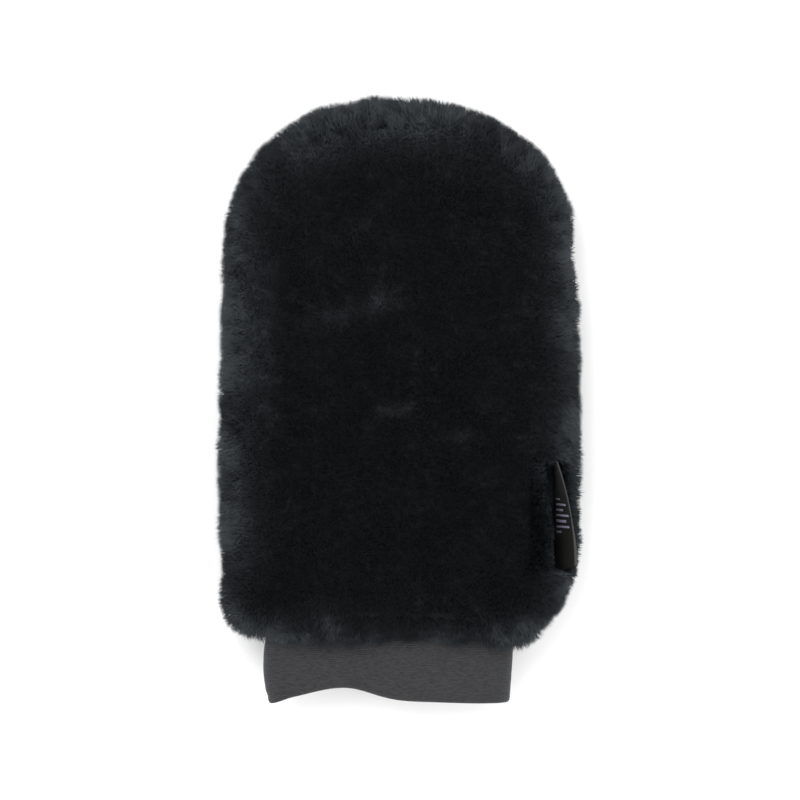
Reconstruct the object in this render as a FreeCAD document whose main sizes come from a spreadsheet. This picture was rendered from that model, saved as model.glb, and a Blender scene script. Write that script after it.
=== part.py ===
"""Wash mitt: two long-pile panels sewn round the edge, lined, with a knitted cuff folded double.

The mitt lies on its back panel. +Z points up out of the front panel, +Y to the fingertips and -Y to
the cuff. The origin is the middle of the outer box, on the surface that the mitt lies on.
"""

import FreeCAD, Part
import math
import os
import Sketcher
from FreeCAD import Placement, Rotation, Vector

DOC = FreeCAD.newDocument("wash_mitt")

# ---------------------------------------------------------------- driving dimensions, millimetres

DIMENSIONS = [
    # outer outline of the pile, seen from above
    ("side_half", 81.5, "half the width of the pile"),
    ("shoulder_rad", 66.0, "radius of each shoulder"),
    ("crown_rad", 115.0, "radius of the fingertip end"),
    ("crown_y", 137.0, "fingertip end of the pile"),
    ("wrist_y", -112.0, "wrist end of the pile"),
    ("left_corner", 25.0, "wrist corner on the left"),
    ("right_corner", 40.0, "wrist corner on the right"),
    # thicknesses
    ("seam_height", 24.5, "height of the plane where the two panels meet"),
    ("seam_gap", 0.05, "half the gap between the panels at the seam"),
    ("panel_height", 24.5, "seam plane to the outside of the pile"),
    ("round_slack", 0.2, "straight strip left under each rounding"),
    ("pile_depth", 11.5, "length of the pile"),
    ("core_height", 13.0, "seam plane to the roots of the pile"),
    ("layer_gap", 0.1, "gap between two layers of cloth"),
    ("knit_thick", 1.2, "knitted backing"),
    ("lining_thick", 0.8, "lining"),
    ("flange_inset", 19.6, "inner edge of the seam allowance, from the outer outline"),
    ("flange_depth", 2.0, "cut that leaves the seam allowance"),
    # threads
    ("cut_least", 0.1, "smallest volume that a cut may take away"),
    ("thread_rad", 0.3, "radius of the seam thread"),
    ("thread_inset", 16.6, "line of the seam thread, from the outer outline"),
    ("thread_depth", 26.0, "gap in the seam thread at the cuff, from 2 mm outside the pile"),
    ("join_rad", 0.4, "radius of the thread that joins the cuff"),
    # cuff
    ("cuff_x", -4.5, "middle of the cuff"),
    ("cuff_half", 57.0, "half the width of the cuff"),
    ("cuff_rise", 11.2, "half the height of the cuff"),
    ("cuff_end_rad", 8.0, "rounding at each side of the cuff"),
    ("cuff_join_y", -93.0, "end of the cuff that is sewn in"),
    ("cuff_edge_y", -138.4, "folded edge of the cuff"),
    ("cuff_ply", 1.3, "one ply of the cuff's knitting"),
    ("cuff_gap", 0.9, "gap between the two plies"),
    ("cuff_wall", 3.5, "both plies and the gap"),
    ("cuff_fold_y", -128.5, "bottom of the gap between the plies"),
    ("mouth_gap", 0.25, "clearance round the cuff"),
    ("mouth_depth", 24.0, "cuff's way through the pile, from 2 mm outside it"),
    ("edge_depth", 21.3, "cuff's way through the cloth, from the same place"),
    ("way_in_depth", 30.0, "hand's way past the seam allowance, from the same place"),
    ("wave_x", -25.0, "middle of the dip in the folded edge"),
    ("wave_rad", 70.0, "radius of the dip"),
    ("wave_rise", 7.2, "depth of the dip"),
    # elastic yarns
    ("yarn_rad", 0.3, "radius of an elastic yarn"),
    ("yarn_first_y", -97.0, "first yarn"),
    ("yarn_span", 28.0, "first yarn to last"),
    ("yarn_count", 8, "number of yarns"),
    # label
    ("label_length", 50.0, "length along the side seam"),
    ("label_width", 22.0, "seam to folded edge"),
    ("label_thick", 0.7, "two plies of woven tape"),
    ("label_x", 70.7, "line that the label swings about"),
    ("label_y", -52.8, "middle of the label"),
    ("label_lift", 1.0, "that line above the seam plane"),
    ("label_angle", 60.0, "rest angle above the seam plane"),
    ("slot_low", 30.0, "lower side of the parting in the pile"),
    ("slot_high", 86.0, "upper side of the parting in the pile"),
    ("slot_rad", 1.1, "half width of the parting at the seam"),
    ("slot_reach", 34.0, "length of each side of the parting"),
    ("slot_half", 26.5, "half the length of the parting along the seam"),
    ("slot_length", 53.0, "length of the parting along the seam"),
]

SHEET = DOC.addObject("Spreadsheet::Sheet", "Dimensions")
VALUE = {}
for row, (alias, value, note) in enumerate(DIMENSIONS, start=1):
    SHEET.set("A%d" % row, alias)
    SHEET.set("B%d" % row, str(value))
    SHEET.set("C%d" % row, note)
    SHEET.setAlias("B%d" % row, alias)
    VALUE[alias] = float(value)
DOC.recompute()


def cells(text):
    """Spell a short formula out with the sheet's name in front of each alias."""
    words = text.replace("(", " ( ").replace(")", " ) ").split()
    return " ".join("Dimensions." + word if word in VALUE else word for word in words)


def number(text):
    """Work a short formula out from the same dimensions, for a sketch's first position."""
    total = 0.0
    sign = 1.0
    for word in text.split():
        if word in "+-":
            sign = 1.0 if word == "+" else -1.0
            continue
        total += sign * (VALUE[word] if word in VALUE else float(word))
        sign = 1.0
    return total


def less(base, text):
    """The formula for base minus a sum, written without brackets."""
    swapped = {"+": "-", "-": "+"}
    return base + " - " + " ".join(swapped.get(word, word) for word in text.split())


# ---------------------------------------------------------------- sketches

def origin_plane(body, role):
    return [plane for plane in body.Origin.OriginFeatures if plane.Role == role][0]


def new_sketch(body, name, role, lift):
    """A sketch on one of the body's own planes, lifted along that plane's normal."""
    sketch = body.newObject("Sketcher::SketchObject", name)
    sketch.AttachmentSupport = [(origin_plane(body, role), "")]
    sketch.MapMode = "FlatFace"
    sketch.AttachmentOffset = Placement(Vector(0, 0, number(lift)), Rotation())
    sketch.setExpression("AttachmentOffset.Base.z", cells(lift))
    return sketch


def bind(sketch, kind, where, formula):
    """Add a dimension to a sketch and bind it to the sheet."""
    index = sketch.addConstraint(Sketcher.Constraint(kind, *where))
    sketch.setExpression("Constraints[%d]" % index, cells(formula))


def arc(centre, radius, start, end):
    circle = Part.Circle(Vector(centre[0], centre[1], 0), Vector(0, 0, 1), radius)
    return Part.ArcOfCircle(circle, math.radians(start), math.radians(end))


def line(start, end):
    return Part.LineSegment(Vector(start[0], start[1], 0), Vector(end[0], end[1], 0))


def outline(sketch, inset):
    """The mitt's closed outline, moved inwards by inset."""
    step = number(inset)
    half = VALUE["side_half"] - step
    crown_y = VALUE["crown_y"] - VALUE["crown_rad"]
    apart = VALUE["crown_rad"] - VALUE["shoulder_rad"]
    reach = VALUE["side_half"] - VALUE["shoulder_rad"]
    shoulder_y = crown_y + math.sqrt(apart ** 2 - reach ** 2)
    turn = math.degrees(math.atan2(shoulder_y - crown_y, reach))
    left = VALUE["left_corner"] - step
    right = VALUE["right_corner"] - step
    low = VALUE["wrist_y"] + step
    shoulder = VALUE["shoulder_rad"] - step
    pieces = [
        line((left - half, low), (half - right, low)),
        arc((half - right, low + right), right, 270, 360),
        line((half, low + right), (half, shoulder_y)),
        arc((half - shoulder, shoulder_y), shoulder, 0, turn),
        arc((0, crown_y), VALUE["crown_rad"] - step, turn, 180 - turn),
        arc((shoulder - half, shoulder_y), shoulder, 180 - turn, 180),
        line((-half, shoulder_y), (-half, low + left)),
        arc((left - half, low + left), left, 180, 270),
    ]
    first = sketch.addGeometry(pieces, False)[0]
    count = len(pieces)
    for index in range(count):
        here = first + index
        after = first + (index + 1) % count
        sketch.addConstraint(Sketcher.Constraint("Tangent", here, 2, after, 1))
    sketch.addConstraint(Sketcher.Constraint("Horizontal", first))
    sketch.addConstraint(Sketcher.Constraint("Vertical", first + 2))
    sketch.addConstraint(Sketcher.Constraint("Vertical", first + 6))
    sketch.addConstraint(Sketcher.Constraint("PointOnObject", first + 4, 3, -2))
    bind(sketch, "DistanceY", (-1, 1, first + 4, 3, crown_y), "crown_y - crown_rad")
    bind(sketch, "Radius", (first + 1, right), less("right_corner", inset))
    bind(sketch, "Radius", (first + 3, shoulder), less("shoulder_rad", inset))
    bind(sketch, "Radius", (first + 4, VALUE["crown_rad"] - step), less("crown_rad", inset))
    bind(sketch, "Radius", (first + 5, shoulder), less("shoulder_rad", inset))
    bind(sketch, "Radius", (first + 7, left), less("left_corner", inset))
    bind(sketch, "DistanceX", (-1, 1, first + 2, 1, half), less("side_half", inset))
    bind(sketch, "DistanceX", (first + 6, 1, -1, 1, half), less("side_half", inset))
    bind(sketch, "DistanceY", (first, 1, -1, 1, -low), less("0 - wrist_y", inset))


def oval(sketch, inset):
    """The cuff's closed section, moved inwards by inset: two flat arcs and two end arcs."""
    step = number(inset)
    middle = VALUE["cuff_x"]
    level = VALUE["seam_height"]
    end = VALUE["cuff_end_rad"] - step
    rise = VALUE["cuff_rise"]
    reach = VALUE["cuff_half"] - VALUE["cuff_end_rad"]
    round_rad = VALUE["cuff_end_rad"]
    flat = (reach ** 2 + rise ** 2 - round_rad ** 2) / (2 * (rise - round_rad))
    turn = math.degrees(math.atan2(flat - rise, reach))
    drop = flat - rise
    pieces = [
        arc((middle + reach, level), end, -turn, turn),
        arc((middle, level - drop), flat - step, turn, 180 - turn),
        arc((middle - reach, level), end, 180 - turn, 180 + turn),
        arc((middle, level + drop), flat - step, 180 + turn, 360 - turn),
    ]
    first = sketch.addGeometry(pieces, False)[0]
    for index in range(4):
        here = first + index
        after = first + (index + 1) % 4
        sketch.addConstraint(Sketcher.Constraint("Tangent", here, 2, after, 1))
    large = (
        "( ( cuff_half - cuff_end_rad ) ^ 2 + cuff_rise ^ 2 - cuff_end_rad ^ 2 )"
        " / ( 2 * ( cuff_rise - cuff_end_rad ) )"
    )
    bind(sketch, "Radius", (first, end), less("cuff_end_rad", inset))
    bind(sketch, "Radius", (first + 2, end), less("cuff_end_rad", inset))
    bind(sketch, "Radius", (first + 1, flat - step), less(large, inset))
    bind(sketch, "Radius", (first + 3, flat - step), less(large, inset))
    right_x = "cuff_x + cuff_half - cuff_end_rad"
    left_x = "cuff_half - cuff_end_rad - cuff_x"
    bind(sketch, "DistanceX", (-1, 1, first, 3, middle + reach), right_x)
    bind(sketch, "DistanceX", (first + 2, 3, -1, 1, reach - middle), left_x)
    bind(sketch, "DistanceY", (-1, 1, first, 3, level), "seam_height")
    bind(sketch, "DistanceY", (-1, 1, first + 2, 3, level), "seam_height")


# ---------------------------------------------------------------- features

def new_body(label):
    body = DOC.addObject("PartDesign::Body", label)
    body.Label = label
    return body


def pad(body, name, sketch, length, reverse):
    feature = body.newObject("PartDesign::Pad", name)
    feature.Profile = sketch
    feature.Length = number(length)
    feature.setExpression("Length", cells(length))
    feature.Reversed = reverse
    DOC.recompute()
    return feature


def pocket(body, name, sketch, length, reverse):
    """Cut a sketch away, and stop if nothing was cut."""
    before = body.Shape.Volume
    feature = body.newObject("PartDesign::Pocket", name)
    feature.Profile = sketch
    feature.Length = number(length)
    feature.setExpression("Length", cells(length))
    feature.Reversed = reverse
    DOC.recompute()
    if body.Shape.Volume > before - VALUE["cut_least"]:
        raise RuntimeError("%s cut nothing from %s" % (name, body.Label))
    return feature


def rounded(body, name, base, level, inset, radius):
    """Round the edge loop of an outline at one level and one inset."""
    half = VALUE["side_half"] - number(inset)
    names = []
    for index, edge in enumerate(base.Shape.Edges, start=1):
        box = edge.BoundBox
        flat = abs(box.ZMin - level) < 1e-4 and abs(box.ZMax - level) < 1e-4
        if flat and max(abs(box.XMin), abs(box.XMax)) < half + 1e-3:
            names.append("Edge%d" % index)
    feature = body.newObject("PartDesign::Fillet", name)
    feature.Base = (base, names)
    feature.Radius = number(radius)
    feature.setExpression("Radius", cells(radius))
    DOC.recompute()
    return feature


def mouth(body, name, inset, length):
    """Cut the cuff's way through the wrist end of a panel."""
    sketch = new_sketch(body, name + "_sketch", "XZ_Plane", "2 - wrist_y")
    oval(sketch, inset)
    pocket(body, name, sketch, length, False)


def height_above_seam(text, side):
    """A height on the front side of the seam plane, or the same depth on the back side."""
    return "seam_height + " + text if side > 0 else less("seam_height", text)


def rounded_block(body, side, start, top, inset):
    """A block with the mitt's outline on one side of the seam plane, rounded along its top.

    start and top are measured from the seam plane, and inset from the outer outline.
    """
    lift = height_above_seam(start, side)
    sketch = new_sketch(body, body.Label + "_outline", "XY_Plane", lift)
    outline(sketch, inset)
    height = less(top, start)
    block = pad(body, body.Label + "_pad", sketch, height, side < 0)
    level = number(height_above_seam(top, side))
    rounded(body, body.Label + "_round", block, level, inset, less(height, "round_slack"))


def hollowed(label, outside, hollow):
    """The node itself: the outside block less the hollow block."""
    tray = DOC.addObject("Part::Cut", label)
    tray.Label = label
    tray.Base = outside
    tray.Tool = hollow
    DOC.recompute()
    return tray


# ---------------------------------------------------------------- pile

PILE_PANELS = []
for label, side in (("front_pile", 1), ("back_pile", -1)):
    outside = new_body(label + "_outside")
    rounded_block(outside, side, "seam_gap", "panel_height", "0")
    mouth(outside, label + "_mouth", "0 - mouth_gap", "mouth_depth")
    hollow = new_body(label + "_hollow")
    rounded_block(hollow, side, "seam_gap", "core_height", "pile_depth")
    PILE_PANELS.append((label, outside, hollow))

# A parting in the front panel's pile lets the label swing: a wedge that opens from the seam.
front_outside = PILE_PANELS[0][1]
slot = new_sketch(front_outside, "label_parting_sketch", "XZ_Plane", "slot_half - label_y")
pivot_x = VALUE["label_x"]
pivot_z = VALUE["seam_height"] + VALUE["label_lift"]


def slot_side(degrees, turn):
    """The two ends of one side of the wedge, which touches the round end at the seam."""
    angle = math.radians(degrees)
    rad = VALUE["slot_rad"]
    near_x = pivot_x - turn * rad * math.sin(angle)
    near_z = pivot_z + turn * rad * math.cos(angle)
    far_x = near_x + VALUE["slot_reach"] * math.cos(angle)
    far_z = near_z + VALUE["slot_reach"] * math.sin(angle)
    return (near_x, near_z), (far_x, far_z)


low_near, low_far = slot_side(VALUE["slot_low"], -1)
high_near, high_far = slot_side(VALUE["slot_high"], 1)
round_end = arc(
    (pivot_x, pivot_z), VALUE["slot_rad"], VALUE["slot_high"] + 90, VALUE["slot_low"] + 270
)
slot.addGeometry(
    [round_end, line(low_near, low_far), line(low_far, high_far), line(high_far, high_near)], False
)
slot.addConstraint(Sketcher.Constraint("Tangent", 0, 2, 1, 1))
slot.addConstraint(Sketcher.Constraint("Coincident", 1, 2, 2, 1))
slot.addConstraint(Sketcher.Constraint("Coincident", 2, 2, 3, 1))
slot.addConstraint(Sketcher.Constraint("Tangent", 3, 2, 0, 1))
bind(slot, "DistanceX", (-1, 1, 0, 3, pivot_x), "label_x")
bind(slot, "DistanceY", (-1, 1, 0, 3, pivot_z), "seam_height + label_lift")
bind(slot, "Radius", (0, VALUE["slot_rad"]), "slot_rad")
bind(slot, "Distance", (1, VALUE["slot_reach"]), "slot_reach")
bind(slot, "Distance", (3, VALUE["slot_reach"]), "slot_reach")
bind(slot, "Angle", (-1, 1, 1, 1, math.radians(VALUE["slot_low"])), "slot_low * 1deg")
bind(slot, "Angle", (-1, 1, 3, 2, math.radians(VALUE["slot_high"])), "slot_high * 1deg")
pocket(front_outside, "label_parting", slot, "slot_length", False)

piles = [hollowed(*panel) for panel in PILE_PANELS]

# ---------------------------------------------------------------- backing and lining

KNIT_INSET = "pile_depth + layer_gap"
KNIT_TOP = "core_height - layer_gap"
LINING_START = "seam_gap + knit_thick + layer_gap"
LINING_INSET = KNIT_INSET + " + knit_thick + layer_gap"
LINING_TOP = KNIT_TOP + " - knit_thick - layer_gap"

CLOTHS = (
    ("backing", "seam_gap", KNIT_TOP, KNIT_INSET, "knit_thick"),
    ("lining", LINING_START, LINING_TOP, LINING_INSET, "lining_thick"),
)

cloths = []
for cloth, start, top, inset, thick in CLOTHS:
    for panel, side in (("front_", 1), ("back_", -1)):
        label = panel + cloth
        outside = new_body(label + "_outside")
        rounded_block(outside, side, start, top, inset)
        mouth(outside, label + "_mouth", "0 - layer_gap", "edge_depth")
        mouth(outside, label + "_way_in", "cuff_wall", "way_in_depth")
        hollow = new_body(label + "_hollow")
        inner_start = start + " + " + thick
        rounded_block(hollow, side, inner_start, top + " - " + thick, inset + " + " + thick)
        # The hollow runs on down through the foot, and leaves the seam allowance round it.
        lift = height_above_seam(inner_start + " + layer_gap", side)
        window = new_sketch(hollow, label + "_allowance", "XY_Plane", lift)
        outline(window, "flange_inset")
        pad(hollow, label + "_window", window, "flange_depth", side > 0)
        cloths.append(hollowed(label, outside, hollow))

# ---------------------------------------------------------------- cuff

cuff = new_body("cuff_rib")
ring = new_sketch(cuff, "cuff_ring", "XZ_Plane", "0 - cuff_edge_y")
oval(ring, "0")
oval(ring, "cuff_wall")
pad(cuff, "cuff_tube", ring, "cuff_join_y - cuff_edge_y", True)
plies = new_sketch(cuff, "cuff_plies", "XZ_Plane", "0 - cuff_join_y")
oval(plies, "cuff_ply")
oval(plies, "cuff_ply + cuff_gap")
pocket(cuff, "cuff_between_plies", plies, "cuff_join_y - cuff_fold_y", True)
wave = new_sketch(cuff, "cuff_wave", "XY_Plane", "seam_height - cuff_half")
wave_y = VALUE["cuff_edge_y"] + VALUE["wave_rise"] - VALUE["wave_rad"]
wave.addGeometry(
    Part.Circle(Vector(VALUE["wave_x"], wave_y, 0), Vector(0, 0, 1), VALUE["wave_rad"]), False
)
bind(wave, "Radius", (0, VALUE["wave_rad"]), "wave_rad")
bind(wave, "DistanceX", (0, 3, -1, 1, -VALUE["wave_x"]), "0 - wave_x")
bind(wave, "DistanceY", (0, 3, -1, 1, -wave_y), "wave_rad - wave_rise - cuff_edge_y")
pocket(cuff, "cuff_edge_dip", wave, "cuff_half + cuff_half", True)

# ---------------------------------------------------------------- threads and elastic


def thread(body, name, path, radius):
    """A round thread along a path sketch of the same body."""
    section = body.newObject("Sketcher::SketchObject", name + "_section")
    section.AttachmentSupport = [(path, "Edge1")]
    section.MapMode = "NormalToEdge"
    section.addGeometry(Part.Circle(Vector(0, 0, 0), Vector(0, 0, 1), VALUE[radius]), False)
    section.addConstraint(Sketcher.Constraint("Coincident", 0, 3, -1, 1))
    bind(section, "Radius", (0, VALUE[radius]), radius)
    DOC.recompute()
    pipe = body.newObject("PartDesign::AdditivePipe", name)
    pipe.Profile = section
    pipe.Spine = (path, [])
    DOC.recompute()
    return pipe


needle = new_body("perimeter_needle_thread")
bobbin = new_body("perimeter_bobbin_thread")
THREAD_LIFT = "seam_gap + knit_thick + layer_gap + lining_thick + layer_gap + thread_rad"
for body, side in ((needle, 1), (bobbin, -1)):
    lift = height_above_seam(THREAD_LIFT, side)
    path = new_sketch(body, body.Label + "_path", "XY_Plane", lift)
    outline(path, "thread_inset")
    thread(body, body.Label + "_run", path, "thread_rad")
    mouth(body, body.Label + "_mouth", "0 - mouth_gap", "thread_depth")

elastic = new_body("cuff_elastic_yarns")
loop = new_sketch(elastic, "yarn_path", "XZ_Plane", "0 - yarn_first_y")
oval(loop, "cuff_ply + yarn_rad + layer_gap + seam_gap")
thread(elastic, "yarn_ring", loop, "yarn_rad")
rows = elastic.newObject("PartDesign::LinearPattern", "yarn_rings")
rows.Originals = [elastic.Tip]
rows.Direction = (loop, ["N_Axis"])
rows.Length = VALUE["yarn_span"]
rows.setExpression("Length", cells("yarn_span"))
rows.Occurrences = int(VALUE["yarn_count"])
rows.setExpression("Occurrences", cells("yarn_count"))
elastic.Tip = rows
DOC.recompute()

join = new_body("cuff_join_thread")
join_path = new_sketch(join, "join_path", "XZ_Plane", "0 - cuff_join_y")
oval(join_path, "cuff_wall + join_rad + layer_gap")
thread(join, "join_ring", join_path, "join_rad")

# ---------------------------------------------------------------- label

label = new_body("side_label")
tape = new_sketch(label, "label_section", "XZ_Plane", "0")
width = VALUE["label_width"]
half_thick = VALUE["label_thick"] / 2
tape.addGeometry(
    [
        arc((0, 0), half_thick, 90, 270),
        line((0, -half_thick), (width - half_thick, -half_thick)),
        arc((width - half_thick, 0), half_thick, 270, 450),
        line((width - half_thick, half_thick), (0, half_thick)),
    ],
    False,
)
for index in range(4):
    tape.addConstraint(Sketcher.Constraint("Tangent", index, 2, (index + 1) % 4, 1))
tape.addConstraint(Sketcher.Constraint("Coincident", 0, 3, -1, 1))
tape.addConstraint(Sketcher.Constraint("Horizontal", 1))
bind(tape, "Distance", (0, 1, 0, 2, VALUE["label_thick"]), "label_thick")
bind(tape, "DistanceX", (-1, 1, 2, 3, width - half_thick), "label_width - label_thick / 2")
feature = label.newObject("PartDesign::Pad", "label_tape")
feature.Profile = tape
feature.SideType = "Symmetric"
feature.Length = VALUE["label_length"]
feature.setExpression("Length", cells("label_length"))
swing = Rotation(Vector(0, -1, 0), VALUE["label_angle"])
label.Placement = Placement(Vector(pivot_x, VALUE["label_y"], pivot_z), swing)
label.setExpression("Placement.Base.x", cells("label_x"))
label.setExpression("Placement.Base.y", cells("label_y"))
label.setExpression("Placement.Base.z", cells("seam_height + label_lift"))
label.setExpression("Placement.Rotation.Angle", cells("label_angle") + " * 1deg")
DOC.recompute()

# ---------------------------------------------------------------- checks and files

nodes = piles + cloths + [needle, bobbin, cuff, elastic, join, label]
failed = [item.Name for item in DOC.Objects if "Invalid" in item.State or "Error" in item.State]
if failed:
    raise RuntimeError("failed objects: " + ", ".join(failed))
for node in nodes:
    shape = node.Shape
    if shape.isNull() or not shape.isValid() or not shape.Solids:
        raise RuntimeError(node.Label + " has no valid solid")
    box = shape.BoundBox
    print(
        "%-26s %9.1f mm3  %d solid(s)  x %.1f..%.1f  y %.1f..%.1f  z %.1f..%.1f"
        % (
            node.Label,
            shape.Volume,
            len(shape.Solids),
            box.XMin,
            box.XMax,
            box.YMin,
            box.YMax,
            box.ZMin,
            box.ZMax,
        )
    )

os.makedirs("parts", exist_ok=True)
for node in nodes:
    node.Shape.exportStep("parts/%s.step" % node.Label)
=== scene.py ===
"""Wash mitt: long black pile on both panels, a lined pocket, a knitted cuff and a flag label.

Everything is in metres in the frame's own axes: +Z out of the front panel, +Y to the fingertips.
Lengths in this file are written in millimetres and multiplied by MM.
"""

import math

import bpy
import numpy as np
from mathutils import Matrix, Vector


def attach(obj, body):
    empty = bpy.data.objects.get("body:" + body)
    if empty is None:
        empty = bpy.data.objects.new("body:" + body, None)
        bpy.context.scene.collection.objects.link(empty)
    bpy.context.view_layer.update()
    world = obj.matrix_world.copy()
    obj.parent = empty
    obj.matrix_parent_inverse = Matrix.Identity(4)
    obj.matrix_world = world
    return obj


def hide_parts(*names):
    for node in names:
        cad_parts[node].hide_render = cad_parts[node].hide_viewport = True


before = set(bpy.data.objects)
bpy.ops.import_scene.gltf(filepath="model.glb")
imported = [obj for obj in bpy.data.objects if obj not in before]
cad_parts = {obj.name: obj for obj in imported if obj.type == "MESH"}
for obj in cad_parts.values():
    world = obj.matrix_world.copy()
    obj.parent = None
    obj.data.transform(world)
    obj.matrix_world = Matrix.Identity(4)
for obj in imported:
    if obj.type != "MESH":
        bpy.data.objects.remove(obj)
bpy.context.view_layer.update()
MM = 0.001

# ---------- the mitt's own sizes, in mm

HALF = 81.5          # half the width over the pile
SHOULDER = 66.0      # radius of each shoulder
CROWN = 115.0        # radius of the fingertip end
CROWN_Y = 137.0      # fingertip end
WRIST_Y = -112.0     # wrist end of the pile
LEFT, RIGHT = 25.0, 40.0   # radii of the two wrist corners
SEAM_Z = 24.5        # height of the seam plane
ROOT = 11.5          # inset of the pile's roots
ROOT_RISE = 13.0     # roots above the seam plane, on the flat
TIP_RISE = 24.5      # tips above the seam plane, on the flat

HALF_GAP = 0.25      # half the gap between the two panels at the seam plane
SPINE_LOW_Y, SPINE_HIGH_Y = -58.0, 72.0   # the middle line that a panel's rings close on

CUFF_X = -4.5        # middle of the cuff
CUFF_HALF, CUFF_RISE, CUFF_END = 57.0, 11.2, 8.0   # half width, half height, radius of the sides
# from its middle to the middles of the sides, and the radius of the wide faces
CUFF_REACH = CUFF_HALF - CUFF_END
CUFF_FLAT = (CUFF_REACH ** 2 + CUFF_RISE ** 2 - CUFF_END ** 2) / (2 * (CUFF_RISE - CUFF_END))
CUFF_TOP_Y = -93.0   # where the cuff is sewn into the mouth
CUFF_DEEP = 45.4     # from there to its free edge

LABEL_X, LABEL_Y, LABEL_Z = 70.7, -52.8, 25.5   # middle of the line that the label turns on
LABEL_LONG, LABEL_WIDE = 50.0, 22.0
LABEL_ANGLE = 60.0   # degrees above the level in the CAD model


# ---------- noise

def hash01(ix, iy, seed):
    """A repeatable number from 0 to 1 for each whole-number point."""
    n = ix.astype(np.int64) * 374761393 + iy.astype(np.int64) * 668265263 + seed * 1442695041
    n = (n ^ (n >> 13)) * 1274126177
    n = n ^ (n >> 16)
    return (n & 0xFFFFFF).astype(np.float64) / float(0xFFFFFF)


def noise(x, y, size, seed=0):
    """Smooth noise from -1 to 1 with lumps about size across."""
    gx, gy = x / size, y / size
    ix, iy = np.floor(gx), np.floor(gy)
    fx, fy = gx - ix, gy - iy
    sx, sy = fx * fx * (3 - 2 * fx), fy * fy * (3 - 2 * fy)
    a, b = hash01(ix, iy, seed), hash01(ix + 1, iy, seed)
    c, d = hash01(ix, iy + 1, seed), hash01(ix + 1, iy + 1, seed)
    top = a + (b - a) * sx
    low = c + (d - c) * sx
    return 2 * (top + (low - top) * sy) - 1


def unit(vectors):
    """The vectors, each scaled to length 1."""
    return vectors / np.linalg.norm(vectors, axis=1)[:, None]


def square_to(way, vectors):
    """The vectors less what they have along the unit vectors of way."""
    return vectors - way * np.sum(vectors * way, axis=1)[:, None]


# ---------- the outline and its insets

SHOULDER_Y = CROWN_Y - CROWN + math.sqrt((CROWN - SHOULDER) ** 2 - (HALF - SHOULDER) ** 2)
TURN = math.atan2(SHOULDER_Y - (CROWN_Y - CROWN), HALF - SHOULDER)


def outline_pieces():
    """The outline as straight runs and arcs, anticlockwise from the wrist: (kind, data)."""
    h = math.pi / 2
    return [
        ("run", ((LEFT - HALF, WRIST_Y), (HALF - RIGHT, WRIST_Y))),
        ("arc", ((HALF - RIGHT, WRIST_Y + RIGHT), RIGHT, -h, 0.0)),
        ("run", ((HALF, WRIST_Y + RIGHT), (HALF, SHOULDER_Y))),
        ("arc", ((HALF - SHOULDER, SHOULDER_Y), SHOULDER, 0.0, TURN)),
        ("arc", ((0.0, CROWN_Y - CROWN), CROWN, TURN, math.pi - TURN)),
        ("arc", ((SHOULDER - HALF, SHOULDER_Y), SHOULDER, math.pi - TURN, math.pi)),
        ("run", ((-HALF, SHOULDER_Y), (-HALF, WRIST_Y + LEFT))),
        ("arc", ((LEFT - HALF, WRIST_Y + LEFT), LEFT, math.pi, math.pi + h)),
    ]


def outline_points(step):
    """Points and outward normals along the outline, about step apart."""
    points, normals = [], []
    for kind, data in outline_pieces():
        if kind == "run":
            a, b = np.array(data[0]), np.array(data[1])
            length = np.linalg.norm(b - a)
            n = max(2, int(length / step))
            along = (np.arange(n) / n)[:, None]
            way = (b - a) / length
            points.append(a + (b - a) * along)
            normals.append(np.tile([way[1], -way[0]], (n, 1)))
        else:
            centre, radius, start, end = data
            n = max(2, int(radius * (end - start) / step))
            angle = start + (end - start) * np.arange(n) / n
            out = np.stack([np.cos(angle), np.sin(angle)], 1)
            points.append(np.array(centre) + radius * out)
            normals.append(out)
    return np.concatenate(points), np.concatenate(normals)


EDGE, EDGE_OUT = outline_points(0.5)
BATCH = 4000         # points compared with the whole outline at a time


def inset_of(x, y):
    """How far each point lies inside the outline, and the outward direction there."""
    inset = np.empty(len(x))
    out = np.empty((len(x), 2))
    for start in range(0, len(x), BATCH):
        batch = slice(start, start + BATCH)
        px, py = x[batch], y[batch]
        dx = px[:, None] - EDGE[None, :, 0]
        dy = py[:, None] - EDGE[None, :, 1]
        near = np.argmin(dx * dx + dy * dy, axis=1)
        rows = np.arange(len(px))
        normal = EDGE_OUT[near]
        inset[batch] = -(dx[rows, near] * normal[:, 0] + dy[rows, near] * normal[:, 1])
        out[batch] = normal
    return inset, out


# ---------- mesh helpers

def link(obj):
    bpy.context.scene.collection.objects.link(obj)
    return obj


def mesh_object(name, verts, faces, smooth=True, slots=None, materials=()):
    """A mesh from arrays in mm. faces is a list of index arrays, each of one face size."""
    mesh = bpy.data.meshes.new(name)
    verts = np.asarray(verts, dtype=np.float64) * MM
    groups = [np.asarray(f, dtype=np.int64) for f in faces if len(f)]
    loops = np.concatenate([g.ravel() for g in groups])
    sizes = np.concatenate([np.full(len(g), g.shape[1]) for g in groups])
    starts = np.concatenate([[0], np.cumsum(sizes)[:-1]])
    mesh.vertices.add(len(verts))
    mesh.vertices.foreach_set("co", verts.ravel())
    mesh.loops.add(len(loops))
    mesh.loops.foreach_set("vertex_index", loops)
    mesh.polygons.add(len(sizes))
    mesh.polygons.foreach_set("loop_start", starts)
    mesh.polygons.foreach_set("loop_total", sizes)
    for material in materials:
        mesh.materials.append(material)
    if slots is not None:
        mesh.polygons.foreach_set("material_index", np.asarray(slots, dtype=np.int32))
    mesh.update(calc_edges=True)
    mesh.validate()
    if smooth:
        mesh.polygons.foreach_set("use_smooth", np.ones(len(sizes), dtype=bool))
    return link(bpy.data.objects.new(name, mesh))


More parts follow.
